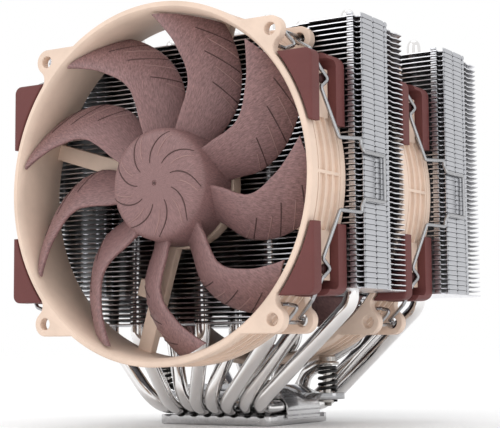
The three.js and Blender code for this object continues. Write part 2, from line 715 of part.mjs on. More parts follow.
function mountingBar() {
  const tip = SCREW_REACH + BAR_WIDTH / 2;
  const lower = [
    [-tip, BAR_END],
    [-BAR_SLOPE_END, BAR_END],
    [-BAR_FLAT, BAR_MIDDLE],
    [BAR_FLAT, BAR_MIDDLE],
    [BAR_SLOPE_END, BAR_END],
    [tip, BAR_END],
  ];
  const upper = lower.map(([x, z]) => [x, z + BAR_THICKNESS]).reverse();
  const strip = plate([...lower, ...upper], -BAR_WIDTH / 2, BAR_WIDTH / 2).rotateX(Math.PI / 2);
  const outline = roundedRectangle(2 * tip, BAR_WIDTH, BAR_WIDTH / 2 - 0.01, 4);
  let solid = solidOf(strip).intersect(solidOf(plate(outline, 0, 40)));
  for (const x of atBoth(SCREW_REACH)) {
    solid = solid.subtract(solidOf(rod(SCREW_HOLE, 0, 40, 12).translate(x, 0, 0)));
  }
  for (const x of atBoth(BAR_SCREW_REACH)) {
    solid = solid.subtract(solidOf(rod(BAR_SCREW_HOLE, 0, 40, 10).translate(x, 0, 0)));
  }
  return piece('mounting_bar', solid, STEEL());
}

function barScrew(name, x) {
  const seat = BAR_MIDDLE + BAR_THICKNESS + GAP;
  const body = turned([
    [0, BLOCK_TOP - 2],
    [1.3, BLOCK_TOP - 2],
    [1.3, seat],
    [2.8, seat],
    [2.4, seat + 1.4],
    [0, seat + 1.4],
  ], 10);
  return piece(name, body.translate(x, 0, 0), STEEL());
}

const SPRING_SEAT = BAR_END + BAR_THICKNESS + GAP;

function spring(name, x) {
  const stepsPerTurn = 8;
  const count = Math.round(SPRING_TURNS * stepsPerTurn);
  const low = SPRING_SEAT + SPRING_WIRE;
  const high = SPRING_TOP - SPRING_WIRE;
  const points = Array.from({ length: count + 1 }, (_, i) => {
    const [dx, dy] = polar(SPRING_RADIUS, 2 * Math.PI * i / stepsPerTurn);
    return new THREE.Vector3(x + dx, dy, low + (high - low) * i / count);
  });
  return piece(name, bentRod(points, SPRING_WIRE, 4), BLACK_STEEL());
}

function springScrew(name, x) {
  const headLow = SPRING_TOP + GAP;
  const body = turned([
    [0, SCREW_TIP],
    [1.6, SCREW_TIP],
    [1.6, BAR_END - 1.8],
    [SHANK_RADIUS, BAR_END - 1.8],
    [SHANK_RADIUS, headLow],
    [4.7, headLow],
    [4.7, headLow + 1.2],
    [3.6, headLow + 1.6],
    [3.6, headLow + 3.4],
    [3, headLow + 4],
    [0, headLow + 4],
  ], 12);
  return piece(name, body.translate(x, 0, 0), STEEL());
}

function retainingClip(name, x) {
  const high = BAR_END - GAP;
  return piece(name, tubeRing(4, SHANK_RADIUS + 0.35, high - 0.9, high, 12).translate(x, 0, 0), STEEL());
}

// ---- Assembly ----
const cooler = new THREE.Group();

cooler.add(fan('front_fan', -FAN_PITCH));
cooler.add(fan('middle_fan', 0));

const rearEdge = FACE + TOWER_CLEARANCE;
const stackEdges = { front: -rearEdge - TOWER_DEPTH, rear: rearEdge };
cooler.add(finStack('front', stackEdges.front), finStack('rear', stackEdges.rear));
PIPES.forEach((pipe, i) => cooler.add(heatPipe(i, pipe, stackEdges)));

cooler.add(basePlate(), baseBlock(), mountingBar());
cooler.add(barScrew('bar_screw_left', -BAR_SCREW_REACH), barScrew('bar_screw_right', BAR_SCREW_REACH));
for (const [side, x] of [['left', -SCREW_REACH], ['right', SCREW_REACH]]) {
  cooler.add(spring(`spring_${side}`, x), springScrew(`spring_screw_${side}`, x));
  cooler.add(retainingClip(`retaining_clip_${side}`, x));
}

export default cooler;
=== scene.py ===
"""Looks of the dual-tower CPU cooler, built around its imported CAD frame."""
import math

import bmesh
import bpy
from mathutils import Matrix, Vector


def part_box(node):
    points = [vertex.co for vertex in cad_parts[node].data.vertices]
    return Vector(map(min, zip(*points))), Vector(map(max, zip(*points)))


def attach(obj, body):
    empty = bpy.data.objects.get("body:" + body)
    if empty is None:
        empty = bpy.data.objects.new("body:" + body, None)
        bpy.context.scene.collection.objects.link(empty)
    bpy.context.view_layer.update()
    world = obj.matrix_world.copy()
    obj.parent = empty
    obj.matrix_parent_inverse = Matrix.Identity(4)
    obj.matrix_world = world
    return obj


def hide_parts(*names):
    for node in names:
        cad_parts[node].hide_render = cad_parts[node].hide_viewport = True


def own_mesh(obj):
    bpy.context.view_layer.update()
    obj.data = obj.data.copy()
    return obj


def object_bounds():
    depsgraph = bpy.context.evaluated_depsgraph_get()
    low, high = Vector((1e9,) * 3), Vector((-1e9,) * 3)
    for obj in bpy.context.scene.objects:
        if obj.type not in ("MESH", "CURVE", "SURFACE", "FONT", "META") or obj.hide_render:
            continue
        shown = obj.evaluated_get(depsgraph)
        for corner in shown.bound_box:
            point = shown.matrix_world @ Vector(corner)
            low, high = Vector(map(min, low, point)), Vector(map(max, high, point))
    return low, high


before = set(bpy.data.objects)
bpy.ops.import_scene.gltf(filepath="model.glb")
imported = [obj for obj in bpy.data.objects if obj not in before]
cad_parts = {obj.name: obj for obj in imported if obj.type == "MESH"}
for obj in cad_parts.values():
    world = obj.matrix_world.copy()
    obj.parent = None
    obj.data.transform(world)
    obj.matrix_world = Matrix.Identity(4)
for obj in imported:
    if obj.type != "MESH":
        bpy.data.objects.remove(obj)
cad_low, cad_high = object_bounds()

MM = 0.001
TAU = 2 * math.pi

# ---- Places, read from the frame (metres) ----
FAN_PREFIXES = ("front", "middle")


def centre_of(node):
    low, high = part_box(node)
    return (low + high) / 2


fan_centres = {name: centre_of(f"{name}_fan_frame") for name in FAN_PREFIXES}
stack_boxes = {name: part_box(f"{name}_fin_stack") for name in ("front", "rear")}

# ---- Sizes in millimetres, as in the CAD ----
FAN_DEPTH = 25.0
FACE = FAN_DEPTH / 2
HOLE = 52.5                       # half the mounting hole pitch
HOLE_RADIUS = 2.25
RING_RADIUS = 69.5
RING_BORE = 66.0
TAB_RADIUS = 4.9
TAB_FILLET = 4.0
TAB_THICKNESS = 4.0
PAD_LOW, PAD_HIGH = 18.0, 44.0
PAD_DEPTH = 6.2
PAD_BRIDGE = 2.2
BRIDGE_DEPTH = 12.0
POST_FACE = 66.2
POST_TOP = 38.5
CUP_RADIUS = 24.0
BLADES = 9
BLADE_PITCH = 360 / BLADES
BLADE_TIP_ANGLE = {"front": 91.0, "middle": 80.0}    # where each fan has stopped
BLADE_ROOT, BLADE_TIP = 21.6, 65.0
WIRE = 0.75
FIN_COUNT = 52                    # full fins, above the shoulder
FIN_SHOULDER = 53.0
LOWER_SPAN = (-66.0, 34.0)
LOWER_DEPTH = 44.0
FIN_HALF = 75.0
TOWER_DEPTH = 47.6
PIPE_RADIUS = 3.0


# ---- Mesh helpers ----
def polar(radius, degrees):
    return radius * math.cos(math.radians(degrees)), radius * math.sin(math.radians(degrees))


def arc(centre, radius, start, end, steps):
    points = (polar(radius, start + (end - start) * i / steps) for i in range(steps + 1))
    return [(centre[0] + x, centre[1] + y) for x, y in points]


def circle(centre, radius, steps=32):
    return arc(centre, radius, 0, 360 * (1 - 1 / steps), steps - 1)


def mesh_from(curve):
    """Turns a curve into a mesh and removes the curve."""
    holder = bpy.data.objects.new("holder", curve)
    bpy.context.scene.collection.objects.link(holder)
    evaluated = holder.evaluated_get(bpy.context.evaluated_depsgraph_get())
    mesh = bpy.data.meshes.new_from_object(evaluated)
    bpy.data.objects.remove(holder)
    bpy.data.curves.remove(curve)
    return mesh


def slab(outline, low, high, bevel, holes=(), resolution=2):
    """A flat outline with holes, from z = low to z = high, with rounded edges."""
    curve = bpy.data.curves.new("outline", "CURVE")
    curve.dimensions = "2D"
    curve.fill_mode = "BOTH"
    for points in (outline, *holes):
        spline = curve.splines.new("POLY")
        spline.points.add(len(points) - 1)
        for point, (x, y) in zip(spline.points, points):
            point.co = (x, y, 0, 1)
        spline.use_cyclic_u = True
    curve.extrude = (high - low) / 2 - bevel
    curve.bevel_depth = bevel
    curve.bevel_resolution = resolution
    curve.offset = -bevel
    mesh = mesh_from(curve)
    mesh.transform(Matrix.Translation((0, 0, (low + high) / 2)))
    return weld(mesh)


def weld(mesh, distance=0.002):
    made = bmesh.new()
    made.from_mesh(mesh)
    bmesh.ops.remove_doubles(made, verts=made.verts, dist=distance)
    bmesh.ops.recalc_face_normals(made, faces=made.faces)
    made.to_mesh(mesh)
    made.free()
    return mesh


def wire_mesh(points, radius, sides=12, closed=False, taper=None):
    """A round rod along a list of points."""
    curve = bpy.data.curves.new("wire", "CURVE")
    curve.dimensions = "3D"
    curve.bevel_depth = radius
    curve.bevel_resolution = max(0, sides // 2 - 1)
    curve.resolution_u = 1
    curve.use_fill_caps = True
    spline = curve.splines.new("POLY")
    spline.points.add(len(points) - 1)
    for i, (point, place) in enumerate(zip(spline.points, points)):
        point.co = (*place, 1)
        point.radius = taper(i / (len(points) - 1)) if taper else 1.0
    spline.use_cyclic_u = closed
    return mesh_from(curve)


def lathe(profile, sides, closed=True, start=0.0, turn=360.0):
    """(radius, z) pairs turned about z. A point on the axis closes the shape there."""
    made = bmesh.new()
    full = turn >= 360.0
    count = sides if full else sides + 1
    rings = []
    for radius, height in profile:
        if radius < 1e-6:
            rings.append([made.verts.new((0, 0, height))] * count)
            continue
        ring = []
        for i in range(count):
            x, y = polar(radius, start + turn * i / sides)
            ring.append(made.verts.new((x, y, height)))
        rings.append(ring)
    pairs = list(zip(rings, rings[1:]))
    if closed:
        pairs.append((rings[-1], rings[0]))
    for below, above in pairs:
        for i in range(sides):
            k = (i + 1) % count
            corners = []
            for vert in (below[i], below[k], above[k], above[i]):
                if vert not in corners:
                    corners.append(vert)
            if len(corners) > 2 and not made.faces.get(corners):
                made.faces.new(corners)
    bmesh.ops.recalc_face_normals(made, faces=made.faces)
    mesh = bpy.data.meshes.new("turned")
    made.to_mesh(mesh)
    made.free()
    return mesh


def soft_profile(profile, radius, steps=3):
    """Rounds the corners of a (radius, z) profile that starts and ends on the axis."""
    points = [Vector((r, z, 0)) for r, z in profile]
    return [(p.x, p.y) for p in rounded(points, radius, steps)]


def box_mesh(low, high, bevel=0.0):
    made = bmesh.new()
    size = Vector(high) - Vector(low)
    middle = (Vector(high) + Vector(low)) / 2
    bmesh.ops.create_cube(made, size=1, matrix=Matrix.Translation(middle) @ Matrix.Diagonal((*size, 1)))
    if bevel:
        bmesh.ops.bevel(made, geom=made.edges[:], offset=bevel, segments=2, affect="EDGES", profile=0.5)
    mesh = bpy.data.meshes.new("box")
    made.to_mesh(mesh)
    made.free()
    return mesh


def rounded(points, radius, steps=4):
    """Replaces each corner of a line of points by a short curve of about that radius, or of
    its own radius where a list gives one for each corner."""
    path = [Vector(points[0])]
    radii = radius if isinstance(radius, list) else [radius] * (len(points) - 2)
    for before, corner, after, wanted in zip(points, points[1:], points[2:], radii):
        corner = Vector(corner)
        back, ahead = Vector(before) - corner, Vector(after) - corner
        half = back.angle(ahead) / 2
        room = min(back.length, ahead.length) * 0.48
        reach = min(wanted / math.tan(half), room) if half < math.pi / 2 - 1e-4 else 0
        if reach <= 0:
            path.append(corner)
            continue
        start, end = corner + back.normalized() * reach, corner + ahead.normalized() * reach
        for i in range(steps + 1):
            t = i / steps
            path.append(start * (1 - t) ** 2 + corner * (2 * t * (1 - t)) + end * t * t)
    path.append(Vector(points[-1]))
    return path


def joined(*parts):
    """One mesh from several. A part is a mesh or a (mesh, material number) pair."""
    made = bmesh.new()
    for part in parts:
        mesh, number = part if isinstance(part, tuple) else (part, None)
        first = len(made.faces)
        made.from_mesh(mesh)
        if number is not None:
            made.faces.ensure_lookup_table()
            for face in made.faces[first:]:
                face.material_index = number
    mesh = bpy.data.meshes.new("joined")
    made.to_mesh(mesh)
    made.free()
    return mesh


def moved(mesh, matrix):
    copy = mesh.copy()
    copy.transform(matrix)
    if matrix.determinant() < 0:
        copy.flip_normals()
    return copy


def cut(mesh, *cutters):
    """Takes the cutters out of a mesh."""
    return combined(mesh, "DIFFERENCE", *cutters)


def combined(mesh, operation, *others):
    body = bpy.data.objects.new("body", mesh)
    bpy.context.scene.collection.objects.link(body)
    tools = []
    for other in others:
        tool = bpy.data.objects.new("tool", other)
        bpy.context.scene.collection.objects.link(tool)
        modifier = body.modifiers.new("combine", "BOOLEAN")
        modifier.operation = operation
        modifier.solver = "EXACT"
        modifier.object = tool
        tools.append(tool)
    evaluated = body.evaluated_get(bpy.context.evaluated_depsgraph_get())
    result = bpy.data.meshes.new_from_object(evaluated)
    for extra in (body, *tools):
        bpy.data.objects.remove(extra)
    return result


def with_bevel(mesh, width, segments=2, angle=35):
    holder = bpy.data.objects.new("holder", mesh)
    bpy.context.scene.collection.objects.link(holder)
    modifier = holder.modifiers.new("edges", "BEVEL")
    modifier.width = width
    modifier.segments = segments
    modifier.angle_limit = math.radians(angle)
    modifier.harden_normals = False
    result = bpy.data.meshes.new_from_object(holder.evaluated_get(bpy.context.evaluated_depsgraph_get()))
    bpy.data.objects.remove(holder)
    return result


def piece(name, mesh, body, material, replaced=(), place=None, smooth=40):
    """Adds a mesh in millimetres as a piece that rides on a body and stands for CAD nodes."""
    mesh = mesh.copy()
    mesh.transform((place or Matrix.Identity(4)) @ Matrix.Diagonal((MM, MM, MM, 1)))
    mesh.name = name
    for each in material if isinstance(material, (list, tuple)) else [material]:
        mesh.materials.append(each)
    mesh.shade_smooth()
    mesh.set_sharp_from_angle(angle=math.radians(smooth))
    thing = bpy.data.objects.new(name, mesh)
    bpy.context.scene.collection.objects.link(thing)
    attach(thing, body)
    if replaced:
        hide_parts(*replaced)
    return thing


# ---- Materials ----
def linear(hex_colour):
    channels = [int(hex_colour[i:i + 2], 16) / 255 for i in (0, 2, 4)]
    return tuple(c / 12.92 if c <= 0.04045 else ((c + 0.055) / 1.055) ** 2.4 for c in channels)


class Surface:
    """Builds one procedural material: a Principled shader fed by object-space noise."""

    def __init__(self, name, roughness, metallic=0.0, specular=0.5):
        self.material = bpy.data.materials.new(name)
        self.material.use_nodes = True
        self.tree = self.material.node_tree
        self.shader = self.tree.nodes["Principled BSDF"]
        self.shader.inputs["Metallic"].default_value = metallic
        self.shader.inputs["Roughness"].default_value = roughness
        self.shader.inputs["Specular IOR Level"].default_value = specular
        self.place = self.tree.nodes.new("ShaderNodeTexCoord").outputs["Object"]

    def link(self, output, target):
        self.tree.links.new(output, target)

    def node(self, kind, **settings):
        made = self.tree.nodes.new(kind)
        for key, value in settings.items():
            setattr(made, key, value)
        return made

    def noise(self, scale, detail=4.0, stretch=(1, 1, 1), place=None, roughness=0.6):
        mapping = self.node("ShaderNodeMapping")
        mapping.inputs["Scale"].default_value = stretch
        self.link(place or self.place, mapping.inputs["Vector"])
        noise = self.node("ShaderNodeTexNoise")
        noise.inputs["Scale"].default_value = scale
        noise.inputs["Detail"].default_value = detail
        noise.inputs["Roughness"].default_value = roughness
        self.link(mapping.outputs[0], noise.inputs["Vector"])
        return noise.outputs["Fac"]

    def ramp(self, value, *stops):
        ramp = self.node("ShaderNodeValToRGB")
        elements = ramp.color_ramp.elements
        while len(elements) < len(stops):
            elements.new(0.5)
        for element, (position, colour) in zip(elements, stops):
            element.position = position
            element.color = (*colour, 1)
        self.link(value, ramp.inputs[0])
        return ramp.outputs[0]

    def spread(self, value, low, high):
        out = self.node("ShaderNodeMapRange")
        out.inputs["From Min"].default_value = 0.3
        out.inputs["From Max"].default_value = 0.7
        out.inputs["To Min"].default_value = low
        out.inputs["To Max"].default_value = high
        self.link(value, out.inputs["Value"])
        return out.outputs[0]

    def colour(self, value, *stops):
        self.link(self.ramp(value, *stops), self.shader.inputs["Base Color"])

    def rough(self, value, low, high):
        self.link(self.spread(value, low, high), self.shader.inputs["Roughness"])

    def bump(self, value, strength, distance):
        bump = self.node("ShaderNodeBump")
        bump.inputs["Strength"].default_value = strength
        bump.inputs["Distance"].default_value = distance
        self.link(value, bump.inputs["Height"])
        self.link(bump.outputs[0], self.shader.inputs["Normal"])

    def around(self, centre):
        """(angle, radius, depth) about a fan's axis, so grain can follow its blades."""
        shift = self.node("ShaderNodeVectorMath", operation="SUBTRACT")
        shift.inputs[1].default_value = centre
        self.link(self.place, shift.inputs[0])
        parts = self.node("ShaderNodeSeparateXYZ")
        self.link(shift.outputs[0], parts.inputs[0])
        angle = self.node("ShaderNodeMath", operation="ARCTAN2")
        self.link(parts.outputs["Z"], angle.inputs[0])
        self.link(parts.outputs["X"], angle.inputs[1])
        flat = self.node("ShaderNodeCombineXYZ")
        self.link(parts.outputs["X"], flat.inputs["X"])
        self.link(parts.outputs["Z"], flat.inputs["Y"])
        radius = self.node("ShaderNodeVectorMath", operation="LENGTH")
        self.link(flat.outputs[0], radius.inputs[0])
        result = self.node("ShaderNodeCombineXYZ")
        self.link(angle.outputs[0], result.inputs["X"])
        self.link(radius.outputs["Value"], result.inputs["Y"])
        self.link(parts.outputs["Y"], result.inputs["Z"])
        return result.outputs[0]


def tints(hex_colour, dark=0.88, light=1.1):
    base = linear(hex_colour)
    return tuple(c * dark for c in base), tuple(min(1, c * light) for c in base)


def moulded(name, hex_colour, roughness, grain=0.15, fine=2600, dark=0.9, light=1.08, specular=0.45):
    made = Surface(name, roughness, specular=specular)
    low, high = tints(hex_colour, dark, light)
    made.colour(made.noise(55, 5), (0.3, low), (0.7, high))
    grit = made.noise(fine, 3)
    made.rough(grit, roughness - 0.06, roughness + 0.08)
    made.bump(grit, grain, 0.00004)
    return made.material


BLADE_BROWN = "806160"


def blade_plastic(name, centre):
    """Brown plastic with short streaks that run outwards along the blades."""
    made = Surface(name, 0.55, specular=0.4)
    low, high = tints(BLADE_BROWN, 0.62, 1.48)
    streaks = made.noise(1, 5, (130.0, 520.0, 900.0), made.around(centre), 0.75)
    made.colour(streaks, (0.36, low), (0.66, high))
    made.rough(streaks, 0.62, 0.36)
    made.bump(streaks, 0.5, 0.0001)
    return made.material


def metal(name, hex_colour, roughness, spread=0.05, stretch=(1, 1, 1), scale=240, dark=0.93, light=1.04):
    made = Surface(name, roughness, metallic=1.0)
    low, high = tints(hex_colour, dark, light)
    cloud = made.noise(scale, 5, stretch)
    made.colour(cloud, (0.3, low), (0.7, high))
    made.rough(cloud, max(0.02, roughness - spread), roughness + spread)
    return made.material


FRAME = moulded("frame_plastic", "dcc4b2", 0.5)
PAD = moulded("pad_rubber", "653634", 0.6, 0.25, 1800, 0.9, 1.06, 0.35)
PLUG = moulded("plug_rubber", "3a1615", 0.6, 0.25, 1800)
# Dark brown for the blade and hub lines: painted shade along their grooves. The hub's centre dot takes it
# too.
LINE_SHADE = moulded("line_painted_shade", "48302e", 0.7)
# Pale brown for the other blade and hub lines: painted highlight along their ridges.
LINE_HIGHLIGHT = moulded("line_painted_highlight", "93736f", 0.45)
FIN = metal("fin_aluminium", "e6e6ea", 0.3, 0.06, (1, 1, 6), 160)
# A darker copy of the fin aluminium for the fins' flat faces: painted shade of the narrow gaps between fins.
FIN_FLAT_SHADE = metal("fin_flats_painted_shade", "808086", 0.35, 0.08, (1, 1, 6), 160)
# A darker copy of the fin aluminium for the folded tabs, flaps and collars: painted shade, standing in for
# their dimmer reflections.
TAB_METAL_SHADE = metal("fin_tabs_painted_shade", "bcbdc1", 0.36, 0.05, (1, 1, 3), 220)
NICKEL = metal("nickel_plate", "e9e7e6", 0.1, 0.03, (1, 1, 0.3), 60)
SATIN = metal("satin_nickel", "c6c5c6", 0.24, 0.05, (1, 0.08, 1), 900, 0.86, 1.06)
STEEL = metal("polished_steel", "a2a2a4", 0.12, 0.04, (0.1, 1, 1), 700)
WIRE_STEEL = metal("clip_wire", "a6a6a8", 0.24, 0.06, (1, 1, 1), 900)
SCREW_STEEL = metal("screw_steel", "b2aeaa", 0.2, 0.08, (1, 1, 5), 700)
BLACK = moulded("black_spring", "0c0c0d", 0.35, 0.1, 3000, 0.8, 1.3)
BRASS = metal("bearing_brass", "b89b5e", 0.3)
YOKE = metal("yoke_steel", "a8a8ab", 0.3)
CORE = metal("core_steel", "77787c", 0.5, 0.1, (1, 6, 1), 300)
MAGNET = moulded("magnet", "3a3a3c", 0.7)
BOBBIN = moulded("bobbin", "4a6a52", 0.6)
BOARD = moulded("board", "2f5a3c", 0.45)


# ---- Fan frame ----
def corner_of(points, side, up):
    return [(x * side, y * up) for x, y in points]


CORNERS = {"top_right": (1, 1), "top_left": (-1, 1), "bottom_right": (1, -1), "bottom_left": (-1, -1)}


def tab_outline():
    """A mounting tab in the upper right corner, as far as the middle of the ring's wall."""
    in_wall = RING_RADIUS - 0.9
    hole_distance = math.hypot(HOLE, HOLE)
    fillet_distance = RING_RADIUS + TAB_FILLET
    reach = TAB_RADIUS + TAB_FILLET
    turn = math.acos((fillet_distance ** 2 + hole_distance ** 2 - reach ** 2)
                     / (2 * fillet_distance * hole_distance))
    fillet_angle = 45 - math.degrees(turn)
    fx, fy = polar(fillet_distance, fillet_angle)
    towards = math.degrees(math.atan2(fy - HOLE, fx - HOLE))
    top = HOLE + TAB_RADIUS
    top_start = math.sqrt(RING_RADIUS ** 2 - top ** 2)
    return [
        polar(in_wall, math.degrees(math.atan2(top, top_start))),
        (top_start, top),
        *arc((HOLE, HOLE), TAB_RADIUS, 90, towards, 16),
        *arc((fx, fy), TAB_FILLET, towards + 180, fillet_angle + 180, 10)[1:],
        polar(in_wall, fillet_angle + 1),
    ]


def wedge(ring_radius, flat, low, high, corner, steps=14):
    start = math.degrees(math.asin(high / ring_radius))
    end = math.degrees(math.asin(low / ring_radius))
    side = arc((flat - corner, high - corner), corner, 0, 90, 8) if corner else [(flat, high)]
    return [(flat, low), *side, *arc((0, 0), ring_radius, start, end, steps)]


RIB_DEPTHS = (5.6, 10.4, 15.3, 20.2)
RIB_WIDTH = 0.9
CHANNEL = 1.3                      # how far the ring's wall lies below its ribs
MID_BAR = 1.3


def frame_mesh():
    def z(depth):
        return FACE - depth

    outer = [(RING_RADIUS - 0.4, z(0)), (RING_RADIUS, z(0.4)), (RING_RADIUS, z(4.4))]
    for depth in RIB_DEPTHS:
        outer += [
            (RING_RADIUS - CHANNEL, z(depth - RIB_WIDTH / 2 - 0.25)),
            (RING_RADIUS - 0.1, z(depth - RIB_WIDTH / 2)),
            (RING_RADIUS - 0.1, z(depth + RIB_WIDTH / 2)),
            (RING_RADIUS - CHANNEL, z(depth + RIB_WIDTH / 2 + 0.25)),
        ]
    outer += [(RING_RADIUS, z(21.4)), (RING_RADIUS, z(24.7)), (RING_RADIUS - 0.3, z(25))]
    inner = [
        (RING_BORE + 0.3, z(25)),
        (RING_BORE, z(24.6)),
        (RING_BORE, z(3.4)),
        (RING_BORE + 0.35, z(2.2)),
        (RING_BORE + 0.75, z(1.1)),
        (RING_BORE + 1.25, z(0.35)),
        (RING_BORE + 1.6, z(0)),
    ]
    parts = [lathe([*outer, *inner], 256)]
    for side in (0, 180):
        bar_low = (RING_RADIUS - 1.6, -MID_BAR / 2, z(21.2))
        bar = box_mesh(bar_low, (RING_RADIUS - 0.08, MID_BAR / 2, z(4.6)), 0.2)
        parts.append(moved(bar, Matrix.Rotation(math.radians(side), 4, "Z")))
    for side, up in CORNERS.values():
        outline = corner_of(tab_outline(), side, up)
        centre = (HOLE * side, HOLE * up)
        for low, high in ((z(TAB_THICKNESS), z(0.03)), (z(24.97), z(25 - TAB_THICKNESS))):
            parts.append(slab(outline, low, high, 0.45, [circle(centre, HOLE_RADIUS + 0.1)], 3))
        wall = (RING_RADIUS + RING_BORE) / 2
        post = wedge(wall, POST_FACE, PAD_LOW + 2.5, POST_TOP, 0)
        parts.append(slab(corner_of(post, side, up), z(18.2), z(6.8), 0.35))
    cup = soft_profile([
        (0, z(25)), (CUP_RADIUS, z(25)), (CUP_RADIUS, z(19.8)), (CUP_RADIUS - 1.5, z(19.8)),
        (CUP_RADIUS - 1.5, z(23)), (4.6, z(23)), (4.6, 4.5), (3.4, 4.5), (3.4, z(23)), (0, z(23)),
    ], 0.4)
    parts.append(lathe(cup, 96, closed=False))
    label_groove = lathe([(20.2, z(25.0)), (20.8, z(25.0)), (20.8, z(25.12)), (20.2, z(25.12))], 96)
    parts.append(label_groove)
    strut_root = CUP_RADIUS - 0.8
    strut_outline = [
        (strut_root, -3.7), (30, -3.45), (66.8, -3.3), (66.8, 3.3), (30, 3.45), (strut_root, 3.7),
    ]
    strut = slab(strut_outline, z(25), z(21), 0.5, resolution=3)
    for i in range(4):
        parts.append(moved(strut, Matrix.Rotation(math.radians(73 + 90 * i), 4, "Z")))
    guide = slab([(39.5, -11.3), (46.5, -11.3), (46.5, -2.5), (39.5, -2.5)], z(24.9), z(23.1), 0.3)
    parts.append(moved(guide, Matrix.Rotation(math.radians(253), 4, "Z")))
    return joined(*parts)


# ---- Pads ----
def pad_meshes(side, up):
    """The front and the rear pad of one corner; the front one has plugs through the post."""
    ring = RING_RADIUS + 0.7
    outer = FACE - 0.3
    inner = outer - PAD_DEPTH
    body = corner_of(wedge(ring, RING_RADIUS, PAD_LOW, PAD_HIGH, 3.0), side, up)
    front = [slab(body, inner, outer, 0.8, resolution=4)]
    for height, depth in ((34.6, 9.0), (34.6, 13.2), (39.6, 8.8)):
        plug = soft_profile([(0, 0), (2.0, 0), (2.0, 1.5), (0, 1.5)], 0.4)
        disc = lathe(plug, 28, closed=False)
        turn = Matrix.Rotation(math.radians(90), 4, "Y")
        place = Matrix.Translation((POST_FACE - 0.7, height, FACE - depth)) @ turn
        mirrored = Matrix.Diagonal((side, up, 1, 1)) @ place
        front.append((moved(disc, mirrored), 1))
    # Seen from the side the rear pad is an L with a round heel and a hollow inner corner.
    heel, hollow = 4.5, 2.4
    under = PAD_HIGH - PAD_BRIDGE
    side_view = [
        (PAD_LOW, -outer), *arc((PAD_HIGH - heel, heel - outer), heel, -90, 0, 10),
        (PAD_HIGH, FACE - BRIDGE_DEPTH), (under, FACE - BRIDGE_DEPTH),
        *arc((under - hollow, hollow - inner), hollow, 0, -90, 8), (PAD_LOW, -inner),
    ]
    across = slab(side_view, 50, 72, 0.0)
    stand = Matrix(((0, 0, side, 0), (up, 0, 0, 0), (0, 1, 0, 0), (0, 0, 0, 1)))
    rear = combined(slab(body, -outer - 1, FACE, 0.0), "INTERSECT", moved(across, stand))
    return joined(*front), with_bevel(weld(rear, 0.01), 0.7, 4, 50)


# ---- Impeller ----
# Radius, then angle in degrees from the tip and depth of the blade's leading edge,
# then the angle of its trailing edge.
BLADE_STATIONS = (
    (20.8, -14.0, 8.4, -48.5), (23.5, -15.8, 7.8, -48.0), (27.0, -17.2, 7.2, -47.0),
    (33.5, -20.0, 6.0, -46.2), (37.5, -20.6, 5.2, -45.3), (40.0, -20.6, 4.8, -44.0),
    (45.0, -18.0, 3.9, -40.6), (51.0, -12.6, 3.0, -35.6), (55.0, -9.2, 2.5, -31.5),
    (58.7, -5.6, 2.1, -27.6), (62.0, -2.6, 1.8, -24.0), (64.9, 0.0, 1.6, -20.6),
)
BLADE_REAR = 18.0
CAMBER = 1.35
BLADE_EDGE_HALF, BLADE_SWELL = 0.42, 0.48        # half thickness near an edge, and what the middle adds


def station(radius):
    """Leading angle, leading depth and trailing angle at a radius, smoothly interpolated."""
    rows = BLADE_STATIONS
    last = len(rows) - 2
    k = next((i for i in range(last) if radius < rows[i + 1][0]), last)
    t = (radius - rows[k][0]) / (rows[k + 1][0] - rows[k][0])
    result = []
    for column in (1, 2, 3):
        p1, p2 = rows[k][column], rows[k + 1][column]
        span = rows[k + 1][0] - rows[k][0]
        m1 = m2 = (p2 - p1) / span
        if k:
            m1 = (p2 - rows[k - 1][column]) / (rows[k + 1][0] - rows[k - 1][0])
        if k < last:
            m2 = (rows[k + 2][column] - p1) / (rows[k + 2][0] - rows[k][0])
        h = t * t * (3 - 2 * t)
        result.append(p1 * (1 - h) + p2 * h + span * (m1 * t * (1 - t) ** 2 - m2 * t * t * (1 - t)))
    return result


def blade_point(radius, chord):
    lead, depth, trail = station(radius)
    angle = lead + (trail - lead) * chord
    x, y = polar(radius, angle)
    return Vector((x, y, FACE - depth - (BLADE_REAR - depth) * chord ** CAMBER))


def blade_normal(radius, chord):
    step_out = blade_point(min(radius + 0.4, BLADE_TIP), chord) - blade_point(radius - 0.4, chord)
    step_along = blade_point(radius, min(chord + 0.02, 1.0)) - blade_point(radius, max(chord - 0.02, 0.0))
    return step_out.cross(step_along).normalized() * -1


def blade_mesh():
    made = bmesh.new()
    spans = [20.9 + (BLADE_TIP - 20.9) * i / 34 for i in range(35)]
    chords = [(1 - math.cos(math.pi * i / 22)) / 2 for i in range(23)]
    loops = []
    for radius in spans:
        root = max(0.0, 1 - (radius - 21) / 5)
        upper, lower = [], []
        for chord in chords:
            edge = min(1.0, math.sqrt(max(0.0, chord * 18)), math.sqrt(max(0.0, (1 - chord) * 14)))
            half = (BLADE_EDGE_HALF + BLADE_SWELL * edge + 0.7 * root * root) if 0 < chord < 1 else 0.22
            point, normal = blade_point(radius, chord), blade_normal(radius, chord)
            upper.append(made.verts.new(point + normal * half))
            lower.append(made.verts.new(point - normal * half))
        loops.append(upper + lower[::-1])
    for inner, outer in zip(loops, loops[1:]):
        for i in range(len(inner)):
            k = (i + 1) % len(inner)
            made.faces.new((inner[i], inner[k], outer[k], outer[i]))
    half_count = len(chords)
    for loop in (loops[0], loops[-1]):
        for i in range(half_count - 1):
            made.faces.new((loop[i], loop[i + 1], loop[-2 - i], loop[-1 - i]))
    bmesh.ops.recalc_face_normals(made, faces=made.faces)
    mesh = bpy.data.meshes.new("blade")
    made.to_mesh(mesh)
    made.free()
    return mesh


